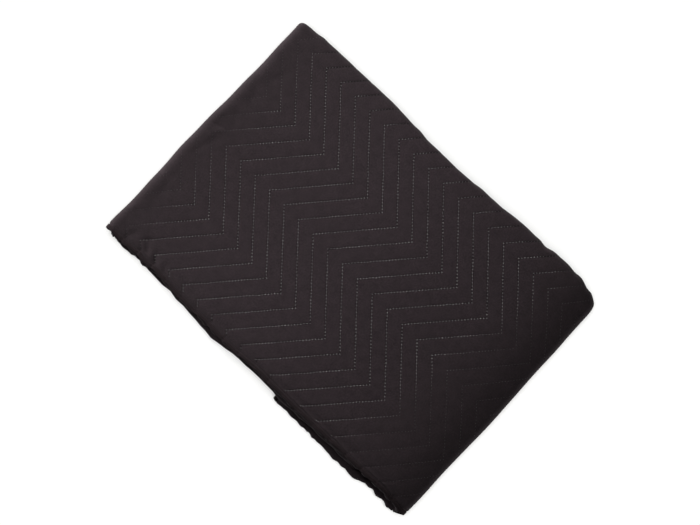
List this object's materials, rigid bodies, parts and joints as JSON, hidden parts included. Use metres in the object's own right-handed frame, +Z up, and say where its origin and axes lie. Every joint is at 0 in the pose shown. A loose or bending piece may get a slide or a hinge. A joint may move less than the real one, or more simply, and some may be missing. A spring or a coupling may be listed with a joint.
{
  "type": "folded quilted blanket",
  "caption": "Dark quilted blanket with zigzag stitching and taped edges, folded into a flat oblong stack that rests on a surface.",
  "frame": {"origin": "centre of the folded stack's box, at the level it rests on", "axes": "+X along the strip towards the drooping fold, +Y towards the closed side fold, +Z up"},
  "size_m": [0.7284, 0.5302, 0.0661],
  "materials": {
    "quilted_cloth": "matte woven, quilted",
    "binding_tape": "matte woven tape",
    "quilting_thread": "twisted thread, slight sheen"
  },
  "bodies": {
    "root": {"quilt_pad": "quilted_cloth", "first_side_binding": "binding_tape", "second_side_binding": "binding_tape", "long_flap_binding": "binding_tape", "short_flap_binding": "binding_tape"}
  },
  "joints": []
}
